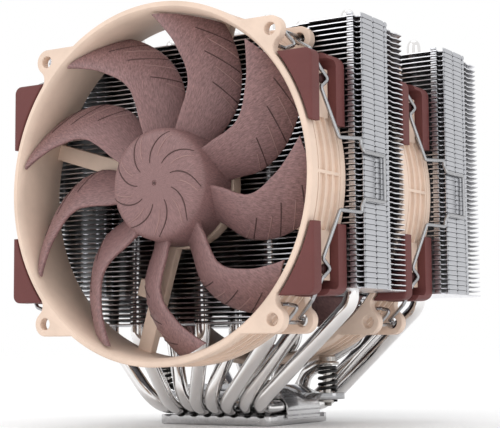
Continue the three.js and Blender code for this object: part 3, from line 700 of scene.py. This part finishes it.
# Lines on each blade: chord and span shares where a line starts and ends. The first set is
# painted dark as shade along grooves, the second pale as a highlight along ridges.
ENGRAVED_LINES = (
    ((0.50, 0.90), (0.975, 0.86)), ((0.46, 0.72), (0.975, 0.665)), ((0.50, 0.50), (0.975, 0.44)),
)
RAISED_LINES = (
    ((0.60, 0.83), (0.975, 0.765)), ((0.58, 0.63), (0.975, 0.565)), ((0.70, 0.43), (0.975, 0.375)),
)


def blade_line_width(t):
    """Share of a blade line's full width, a share t of the way along it."""
    return 0.35 + 0.65 * math.sin(math.pi * min(1, t + 0.25)) ** 0.5 if t < 0.75 else 1.0


def blade_line(start, end):
    """A thin rod half sunk in the blade's front face."""
    points = []
    for i in range(17):
        t = i / 16
        chord = start[0] + (end[0] - start[0]) * t
        radius = BLADE_ROOT + (start[1] + (end[1] - start[1]) * t) * (BLADE_TIP - BLADE_ROOT)
        edge = min(1.0, math.sqrt(max(0.0, (1 - chord) * 14)))
        half = BLADE_EDGE_HALF + BLADE_SWELL * edge
        points.append(blade_point(radius, chord) + blade_normal(radius, chord) * half)
    return wire_mesh(points, 0.24, 8, taper=blade_line_width)


HUB_FRONT = FACE - 1.3


def hub_line(start_angle, radius_in, radius_out, sweep):
    points = []
    for i in range(15):
        t = i / 14
        radius = radius_in + (radius_out - radius_in) * t
        x, y = polar(radius, start_angle + sweep * t ** 1.4)
        points.append(Vector((x, y, hub_height(radius))))
    return wire_mesh(points, 0.26, 8, taper=lambda t: math.sin(math.pi * (0.12 + 0.76 * t)) ** 0.5)


def hub_height(radius):
    dome = HUB_FRONT - 0.5 * (radius / 16) ** 2
    return dome if radius < 17.5 else dome - 0.13 * (radius - 17.5) ** 2


def impeller_mesh():
    blade = blade_mesh()
    radii = [1.6 + 0.5 * i for i in range(38)]
    groove = HUB_FRONT - 0.35
    face = [(0, HUB_FRONT), (0.55, HUB_FRONT), (0.7, groove), (0.95, groove), (1.15, HUB_FRONT)]
    face += [(r, hub_height(r)) for r in radii if r < 20.6]
    side = [
        (21.1, FACE - 4.1), (21.45, FACE - 5.0), (21.7, FACE - 6.2), (23.3, FACE - 18.7), (23.2, FACE - 19.2),
    ]
    inside = [(20.1, FACE - 19.2), (20.0, FACE - 5.2), (0, FACE - 4.9)]
    parts = [lathe([*face, *side, *inside], 144, closed=False)]
    # Material 1 paints shade along the dark blade and hub lines, material 2 a highlight along the pale ones.
    dark = [blade_line(*line) for line in ENGRAVED_LINES]
    pale = [blade_line(*line) for line in RAISED_LINES]
    for i in range(BLADES):
        turn = Matrix.Rotation(math.radians(BLADE_PITCH * i), 4, "Z")
        parts.append(moved(blade, turn))
        parts += [(moved(line, turn), 1) for line in dark]
        parts += [(moved(line, turn), 2) for line in pale]
        parts.append((hub_line(BLADE_PITCH * i + 14, 8.0, 20.4, -32), 1))
        parts.append((hub_line(BLADE_PITCH * i + 31, 10.5, 19.6, -14), 2))
    # The centre dot is drawn in the same dark brown.
    dot_low, dot_high = HUB_FRONT - 0.3, HUB_FRONT + 0.02
    parts.append((lathe([(0, dot_low), (0.5, dot_low), (0.5, dot_high), (0, dot_high)], 20, closed=False), 1))
    return joined(*parts)


# ---- Wire clips ----
LOOP_X = FIN_HALF + 0.3 + WIRE + 0.1
CLIP_HALF = (
    (HOLE + 0.4, 47, 6), (HOLE + 0.6, 46.8, 10), (HOLE + 4.9, 47.7, 10.5), (HOLE, 53.35, 10),
    (HOLE, 53.35, 22.5), (HOLE, 51.65, 22.5), (HOLE, 51.65, 19.4), (HOLE + 11.5, 45.5, 9),
    (67.9, 38, 9.2), (67.9, 34.5, 15.4), (67.9, 31, 9.8), (71.2, 13.2, 17),
    (FIN_HALF - 0.1, 13.6, 26.8), (FIN_HALF - 0.1, 11.4, 26.8), (LOOP_X, 8.7, 26.8), (LOOP_X, 8.7, 43),
)


def clip_mesh(side):
    upper = [Vector((x * side, y, FACE - depth)) for x, y, depth in CLIP_HALF]
    lower = [Vector((point.x, -point.y, point.z)) for point in reversed(upper)]
    path = rounded([*upper, *lower], 1.3, 6)
    return wire_mesh(path, WIRE, 14)


# ---- Fans ----
frame_shape = frame_mesh()
impeller_shape = impeller_mesh()
pad_shapes = {name: pad_meshes(*signs) for name, signs in CORNERS.items()}
clip_shapes = {"right": clip_mesh(1), "left": clip_mesh(-1)}

for name, centre in fan_centres.items():
    fan = f"{name}_fan"
    place = Matrix.Translation(centre) @ Matrix.Rotation(math.radians(90), 4, "X")
    piece(f"{fan}_frame_detail", frame_shape, fan, FRAME, [f"{fan}_frame"], place)
    # The blades' plastic, then the painted shade and the painted highlight of their lines.
    blade_plastic_shade_and_highlight = [blade_plastic(f"{fan}_blades", centre), LINE_SHADE, LINE_HIGHLIGHT]
    stopped = place @ Matrix.Rotation(math.radians(BLADE_TIP_ANGLE[name]), 4, "Z")
    piece(f"{fan}_impeller_detail", impeller_shape, f"{name}_rotor", blade_plastic_shade_and_highlight,
          [f"{fan}_impeller"], stopped, 50)
    for corner, shapes in pad_shapes.items():
        for where, shape in zip(("front", "rear"), shapes):
            node = f"{fan}_pad_{corner}_{where}"
            piece(f"{node}_detail", shape, fan, [PAD, PLUG], [node], place, 50)
    for side, shape in clip_shapes.items():
        piece(f"{fan}_clip_{side}_detail", shape, f"{name}_clip_{side}", WIRE_STEEL,
              [f"{fan}_clip_{side}"], place, 60)
    for part, finish in (("shaft", SCREW_STEEL), ("bearing_sleeve", BRASS), ("stator_core", CORE),
                         ("coil_bobbin", BOBBIN), ("circuit_board", BOARD), ("rotor_yoke", YOKE),
                         ("magnet_ring", MAGNET)):
        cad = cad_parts[f"{fan}_{part}"].data.materials
        cad.clear()
        cad.append(finish)

# ---- Fin stacks ----
NEAR, FAR = 12.5, 28.5             # the two rows of pipes, from a stack's front edge
# Front end, then rear end, of each pipe: its place in the fins across and back, the height
# of its shoulder, where it turns up off the base, and how high it climbs before leaning out.
PIPES = (
    ((-61, FAR, 36, -32, 0), (-61, FAR, 35, 31, 0)),
    ((-35, NEAR, 37, -31, 0), (-35, NEAR, 36, 34, 0)),
    ((-29, FAR, 37, -31, 0), (-29, FAR, 36, 31, 0)),
    ((-3, NEAR, 37, -33, 0), (-3, NEAR, 36, 33, 20)),
    ((3, FAR, 37, -36, 0), (3, FAR, 36, 35, 0)),
    ((29, NEAR, 37, -32, 0), (29, NEAR, 36, 31, 20)),
    ((35, FAR, 44, -31, 0), (35, FAR, 43, 29, 0)),
    ((59, 22.5, 48.5, -29.3, 0), (57, NEAR, 48.5, 30.6, 0)),
)
INNER_PIPES = 6
FIN_METAL = 0.42
TAB_TOP = 24.2
TAB_SEAMS = (2.75, 3.5, 12.5, 21.5, 24.3)    # edges of a fin's folded tabs, from the front


def side_tab(first, last, height, side):
    """One folded tab. Four of its cut corners meet in a small diamond opening."""
    notch = min(0.62, (last - first) / 2 - 0.05)
    outline = [
        (first + notch, 0), (last - notch, 0), (last, notch), (last, height - notch), (last - notch, height),
        (first + notch, height), (first, height - notch), (first, notch),
    ]
    upright = Matrix(((0, 0, side, side * (FIN_HALF - 0.4)), (1, 0, 0, 0), (0, 1, 0, 0), (0, 0, 0, 1)))
    return moved(slab(outline, 0, 0.4, 0.04, resolution=1), upright)


def fin_mesh(end, pitch, lower=False, plain=False):
    """One fin of the front (0) or rear (1) stack with its tabs, flaps and pipe collars, front
    edge at y = 0. Its flat faces, which only show in the gaps, take a darker metal as painted shade, unless
    it is plain."""
    right = [
        (41.5, 4.0), (41.5, 3.3), (45, 3.3), (45, 2.6), (48.5, 2.6), (48.5, 1.6), (54, 1.6), (54, 0),
        (FIN_HALF - 1.9, 0), (FIN_HALF - 1.9, 2.7), (FIN_HALF - 0.2, 2.7), (FIN_HALF - 0.2, TAB_TOP),
        (FIN_HALF - 2, TAB_TOP + 0.6), (FIN_HALF - 2, 31), (FIN_HALF - 2.6, 32), (FIN_HALF - 2.6, 35),
        (FIN_HALF - 2, 36), (FIN_HALF - 2, 41), (FIN_HALF - 8, TOWER_DEPTH),
    ]
    outline = [*right, *[(-x, y) for x, y in reversed(right)]]
    columns = [pipe[end][:2] for pipe in PIPES]
    if lower:
        left, right_edge = LOWER_SPAN
        outline = [
            (left, 0), (right_edge, 0), (right_edge, 20), (26, 24), (26, LOWER_DEPTH), (left, LOWER_DEPTH),
        ]
        columns = columns[:INNER_PIPES]
    holes = [circle(place, PIPE_RADIUS + 0.25, 20) for place in columns]
    sheet = slab(outline, 0, FIN_METAL, 0.03, holes, 0)
    # Flat faces of inner fins take material 2, the painted shade of the gaps; edges keep the bright metal.
    for face in sheet.polygons:
        face.material_index = 0 if plain or abs(face.normal.z) < 0.9 else 2
    parts = [sheet]
    tab_height = pitch - 0.2
    # Tabs, flaps and collars take material 1, the fin metal painted darker as shade.
    for side in () if lower else (-1, 1):
        for first, last in zip(TAB_SEAMS, TAB_SEAMS[1:]):
            parts.append((side_tab(first + 0.1, last - 0.1, tab_height, side), 1))
        flap = box_mesh((0, 0.0, pitch * 0.25), (2.6, 0.35, pitch * 0.8), 0.05)
        spot = Matrix.Translation((side * (FIN_HALF - 3.25) - 1.3, 0, 0))
        parts.append((moved(flap, spot), 1))
        rear_flap = box_mesh((0, TOWER_DEPTH - 0.35, 0), (3.0, TOWER_DEPTH, pitch * 0.6), 0.05)
        for x in (20, 60):
            parts.append((moved(rear_flap, Matrix.Translation((side * x - 1.5, 0, 0))), 1))
    for x, y in columns:
        collar = lathe([(PIPE_RADIUS + 0.1, 0.1), (PIPE_RADIUS + 0.75, 0.1), (PIPE_RADIUS + 0.35, 0.7),
                        (PIPE_RADIUS + 0.3, 1.25), (PIPE_RADIUS + 0.1, 1.25)], 20)
        parts.append((moved(collar, Matrix.Translation((x, y, 0))), 1))
    return joined(*parts)


def fin_pile(name, fin, place, count, pitch, replaced=()):
    pile = piece(name, fin, "heatsink", [FIN, TAB_METAL_SHADE, FIN_FLAT_SHADE], replaced, place, 40)
    copies = pile.modifiers.new("copies", "ARRAY")
    copies.count = count
    copies.use_relative_offset = False
    copies.use_constant_offset = True
    copies.constant_offset_displace = (0, 0, pitch * MM)


for end, (name, (low, high)) in enumerate(stack_boxes.items()):
    middle_x = fan_centres["middle"].x
    pitch = (high.z / MM - FIN_SHOULDER) / FIN_COUNT
    lower_count = int((FIN_SHOULDER - low.z / MM) / pitch)

    def level(number):
        return Matrix.Translation((middle_x, low.y, (FIN_SHOULDER + number * pitch) * MM))

    fin_pile(f"{name}_fins", fin_mesh(end, pitch), level(1), FIN_COUNT - 2, pitch, [f"{name}_fin_stack"])
    # The top and the bottom fin are plain: their flats get no painted shade.
    fin_pile(f"{name}_outer_fins", fin_mesh(end, pitch, plain=True), level(0), 2, pitch * (FIN_COUNT - 1))
    fin_pile(f"{name}_lower_fins", fin_mesh(end, pitch, lower=True), level(-lower_count), lower_count, pitch)

# ---- Heat pipes ----
PIPE_SPACING = 6.6
PIPE_BEND, CLIMB_BEND = 12.0, 9.0
SHOULDER_BENDS = (8.0, 8.0, 8.0, 8.0, 8.0, 8.0, 15.0, 9.0)
base_low, base_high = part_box("base_plate")
pipe_height = base_high.z / MM + 0.3 + PIPE_RADIUS
fan_shift = fan_centres["middle"].x / MM
pipe_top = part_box("heat_pipe_1")[1].z / MM
stack_fronts = [low.y / MM for low, high in stack_boxes.values()]


def pipe_end(number, end):
    """Corners of one end of a pipe, from the base run to the tip, with each bend's radius."""
    across, back, upright, turn, climb = PIPES[number][end]
    base_x = (number - (len(PIPES) - 1) / 2) * PIPE_SPACING
    tower_x, y = fan_shift + across, stack_fronts[end] + back
    corners = [Vector((base_x, turn, pipe_height))]
    bends = [PIPE_BEND]
    if climb:
        corners.append(Vector((base_x + (tower_x - base_x) * 0.1, turn + (y - turn) * 0.25, climb)))
        bends.append(CLIMB_BEND)
    corners += [Vector((tower_x, y, upright)), Vector((tower_x, y, pipe_top))]
    return corners, [*bends, SHOULDER_BENDS[number]]


for i in range(len(PIPES)):
    (front, front_bends), (rear, rear_bends) = pipe_end(i, 0), pipe_end(i, 1)
    path = rounded([*reversed(front), *rear], [*reversed(front_bends), *rear_bends], 12)
    tip = [(0.0, 0.12), (0.25, 0.42), (0.8, 0.68), (1.8, 0.87), (3.2, 0.97), (4.6, 1.0)]
    first, last = path[0], path[-1]
    path = ([Vector((first.x, first.y, first.z - down)) for down, _ in tip] + path[1:-1]
            + [Vector((last.x, last.y, last.z - down)) for down, _ in reversed(tip)])
    tip_sizes = [size for _, size in tip]
    sizes = tip_sizes + [1.0] * (len(path) - 2 * len(tip)) + tip_sizes[::-1]
    shape = wire_mesh(path, PIPE_RADIUS, 28, taper=lambda t, n=len(path), s=sizes: s[round(t * (n - 1))])
    piece(f"heat_pipe_{i + 1}_detail", shape, "heatsink", NICKEL, [f"heat_pipe_{i + 1}"], None, 60)


# ---- Base ----
def rounded_rectangle(width, depth, radius, steps=8):
    x, y = width / 2 - radius, depth / 2 - radius
    centres = ((x, y), (-x, y), (-x, -y), (x, -y))
    return [p for i, c in enumerate(centres) for p in arc(c, radius, 90 * i, 90 * i + 90, steps)]


ON_SIDE = Matrix.Rotation(math.radians(90), 4, "X")    # a flat outline stood up in the XZ plane
plate_size = (base_high - base_low) / MM
plate = slab(rounded_rectangle(plate_size.x, plate_size.y, 1.5), 0, plate_size.z, 0.35)
troughs = []
for i in range(len(PIPES)):
    for end in (-1, 1):
        x = (i - (len(PIPES) - 1) / 2) * PIPE_SPACING
        trough = lathe([(0, -6), (PIPE_RADIUS + 0.35, -6), (PIPE_RADIUS + 0.35, 6), (0, 6)], 32, closed=False)
        place = Matrix.Translation((x, end * (plate_size.y / 2), pipe_height - 0.75)) @ ON_SIDE
        troughs.append(moved(trough, place))
REBATE_INSIDE, REBATE_LOW = 26.1, 2.1            # the plate's step that seats the block's skirt
REBATE_FRONT, REBATE_REAR = -18.0, 21.0
rebates = [box_mesh((REBATE_INSIDE, REBATE_FRONT, REBATE_LOW), (30, REBATE_REAR, 6)),
           box_mesh((-30, REBATE_FRONT, REBATE_LOW), (-REBATE_INSIDE, REBATE_REAR, 6))]
plate = cut(plate, joined(*troughs, *rebates))
piece("base_plate_detail", plate, "heatsink", SATIN, ["base_plate"])

block_low, block_high = (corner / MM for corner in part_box("base_block"))
BLOCK_CHAMFER = (4.3, 5.6)
half = block_high.x
across, down = BLOCK_CHAMFER
ceiling = pipe_height + PIPE_RADIUS + 0.4
wall = 0.8
groove = 0.3
profile = [(half - wall, block_low.z), (half, block_low.z)]
for height in (block_low.z + 0.9, block_low.z + 3.0):
    profile += [
        (half, height), (half - groove, height + 0.2), (half - groove, height + 0.4), (half, height + 0.6),
    ]
profile += [(half, block_high.z - down), (half - across, block_high.z)]
profile = [(half - 2.6, ceiling), (half - wall, block_high.z - down + 0.4), *profile]
outline = [*profile, *[(-x, z) for x, z in reversed(profile)]]
block = moved(slab(outline, -block_high.y, -block_low.y, 0.12, resolution=1), ON_SIDE)
SCREW_X = 12.0
screw_bores = [moved(lathe([(0, -2), (1.7, -2), (1.7, 6), (0, 6)], 24, closed=False),
                     Matrix.Translation((x, 0, 12))) for x in (-SCREW_X, SCREW_X)]
block = cut(block, joined(*screw_bores))
piece("base_block_detail", block, "heatsink", SATIN, ["base_block"])

# ---- Mounting bar ----
bar_low, bar_high = (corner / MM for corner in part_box("mounting_bar"))
BAR_FLAT, BAR_SLOPE_END, BAR_THICKNESS, BAR_WIDTH = 24.5, 33.0, 2.5, 14.0
SPRING_X = 41.0
step = bar_high.z - BAR_THICKNESS - bar_low.z
edge = [(0.0, step), (BAR_FLAT, step), (BAR_SLOPE_END, 0.0), (bar_high.x, 0.0)]
soft_edge = [(p.x, p.y) for p in rounded([Vector((x, z, 0)) for x, z in edge], 5.0, 8)]
lower = [(-x, z) for x, z in reversed(soft_edge[1:])] + soft_edge
strip_outline = [*lower, *[(x, z + BAR_THICKNESS) for x, z in reversed(lower)]]
strip_outline = [(x, z + bar_low.z) for x, z in strip_outline]
bar = moved(slab(strip_outline, -BAR_WIDTH / 2, BAR_WIDTH / 2, 0.0), ON_SIDE)
waist = [
    *arc((bar_high.x - 7, 0), 7, -90, 90, 20), (34, 7), (30, 6.2), (24, 6.6), (18, 7), (-18, 7), (-24, 6.6),
    (-30, 6.2), (-34, 7), *arc((7 - bar_high.x, 0), 7, 90, 270, 20), (-34, -7), (-30, -6.2), (-24, -6.6),
    (-18, -7), (18, -7), (24, -6.6), (30, -6.2), (34, -7),
]
bores = [circle((x, 0), 2.4, 32) for x in (-SPRING_X, SPRING_X)]
bores += [circle((x, 0), 1.7, 24) for x in (-SCREW_X, SCREW_X)]
bar = combined(bar, "INTERSECT", slab(waist, 5, 25, 0.0, bores))
bar = with_bevel(weld(bar, 0.01), 0.35, 3, 50)
piece("mounting_bar_detail", bar, "heatsink", STEEL, ["mounting_bar"])


# ---- Screws, springs and retaining clips ----
SPRING_TURNS, SPRING_RADIUS, SPRING_WIRE = 5, 3.6, 0.62


def lobed(radius, depth_low, depth_high, lobes=6):
    """A six-lobed driver recess."""
    points = [polar(radius * (1 + 0.16 * math.cos(math.radians(lobes * a))), a) for a in range(0, 360, 5)]
    return slab(points, depth_low, depth_high, 0.0)


for side, sign in (("left", -1), ("right", 1)):
    low, high = (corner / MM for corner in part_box(f"bar_screw_{side}"))
    x = sign * SCREW_X
    head = high.z - 1.4
    body = lathe(soft_profile([(0, low.z), (1.3, low.z), (1.3, head), (2.8, head), (2.75, high.z - 0.5),
                               (2.1, high.z), (0, high.z)], 0.25), 40, closed=False)
    body = cut(body, lobed(1.25, high.z - 0.9, high.z + 1))
    piece(f"bar_screw_{side}_detail", body, "heatsink", SCREW_STEEL, [f"bar_screw_{side}"],
          Matrix.Translation((x * MM, 0, 0)))

    low, high = (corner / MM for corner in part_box(f"spring_screw_{side}"))
    head = high.z - 4.0
    turns = [(1.45, low.z + 0.2)]
    for k in range(2):
        turns += [(1.6, low.z + 0.4 + 0.5 * k), (1.3, low.z + 0.65 + 0.5 * k)]
    body = lathe([
        (0, low.z), (1.2, low.z), *turns, (1.9, low.z + 1.5), (1.9, head - 0.2), (2.2, head), (4.5, head),
        (4.7, head + 0.2), (4.7, head + 0.9), (4.5, head + 1.15), (3.75, head + 1.4), (3.6, head + 1.7),
        (3.55, head + 3.3), (3.35, head + 3.75), (2.9, head + 4.0), (0, head + 4.0),
    ], 56, closed=False)
    body = cut(body, lobed(1.75, high.z - 2.2, high.z + 1))
    screw_place = Matrix.Translation((sign * SPRING_X * MM, 0, 0))
    piece(f"spring_screw_{side}_detail", body, f"screw_{side}", SCREW_STEEL,
          [f"spring_screw_{side}"], screw_place)

    low, high = (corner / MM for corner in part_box(f"spring_{side}"))
    coils = []
    count = SPRING_TURNS * 28
    for k in range(count + 1):
        t = k / count
        rise = t - 0.055 * math.sin(TAU * t)      # the end turns lie closer together
        px, py = polar(SPRING_RADIUS, 360 * SPRING_TURNS * t)
        coils.append(Vector((px, py, low.z + SPRING_WIRE + (high.z - low.z - 2 * SPRING_WIRE) * rise)))
    spring = piece(f"spring_{side}_detail", wire_mesh(coils, SPRING_WIRE, 10), "heatsink", BLACK,
                   [f"spring_{side}"], screw_place, 60)
    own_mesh(spring)

    low, high = (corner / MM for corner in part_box(f"retaining_clip_{side}"))
    ring = lathe(soft_profile([(2.35, low.z), (3.95, low.z), (3.95, high.z), (2.35, high.z)], 0.2), 40,
                 start=25, turn=310)
    piece(f"retaining_clip_{side}_detail", ring, f"screw_carrier_{side}", SCREW_STEEL,
          [f"retaining_clip_{side}"], screw_place)

# ---- Stage, light and camera ----
floor_mesh = bpy.data.meshes.new("floor")
reach = 30.0
floor_mesh.from_pydata([(-reach, -reach, 0), (reach, -reach, 0), (reach, reach, 0), (-reach, reach, 0)], [],
                       [(0, 1, 2, 3)])
floor = bpy.data.objects.new("floor", floor_mesh)
floor.location.z = cad_low.z - 0.0002
bpy.context.scene.collection.objects.link(floor)
floor_mesh.materials.append(moulded("floor_paper", "ffffff", 0.9, 0.0, 400, 1.0, 1.0, 0.0))


def softbox(name, place, target, size, power):
    data = bpy.data.lights.new(name, "AREA")
    data.shape = "RECTANGLE"
    data.size, data.size_y = size
    data.energy = power
    light = bpy.data.objects.new(name, data)
    light.location = place
    light.rotation_euler = (Vector(target) - Vector(place)).to_track_quat("-Z", "Y").to_euler()
    bpy.context.scene.collection.objects.link(light)


middle = (cad_low + cad_high) / 2
softbox("key", (-0.45, -0.95, 0.75), middle, (0.7, 0.7), 3.0)
softbox("side", (1.1, -0.35, 0.35), middle, (0.5, 0.9), 1.6)
softbox("top", (0.0, 0.1, 1.2), middle, (1.0, 1.0), 1.5)

world = bpy.data.worlds.new("studio")
bpy.context.scene.world = world
world.use_nodes = True
world.node_tree.nodes["Background"].inputs["Color"].default_value = (1, 1, 1, 1)
world.node_tree.nodes["Background"].inputs["Strength"].default_value = 1.0
bpy.context.scene.view_settings.view_transform = "Standard"

camera_data = bpy.data.cameras.new("camera")
camera_data.lens = 99.05
camera_data.sensor_width = 36.0
camera = bpy.data.objects.new("camera", camera_data)
camera.location = (0.3203, -0.5031, 0.0313)
AZIMUTH, LOOK_UP, ROLL = math.radians(-32.2), math.radians(5.59), math.radians(-0.42)
level_share = math.cos(LOOK_UP)
forward = Vector((math.sin(AZIMUTH) * level_share, math.cos(AZIMUTH) * level_share, math.sin(LOOK_UP)))
right = Vector((math.cos(AZIMUTH), -math.sin(AZIMUTH), 0))
up = right.cross(forward)
turned_right = right * math.cos(ROLL) + up * math.sin(ROLL)
turned_up = up * math.cos(ROLL) - right * math.sin(ROLL)
camera.rotation_euler = Matrix((turned_right, turned_up, -forward)).transposed().to_euler()
bpy.context.scene.collection.objects.link(camera)
bpy.context.scene.camera = camera
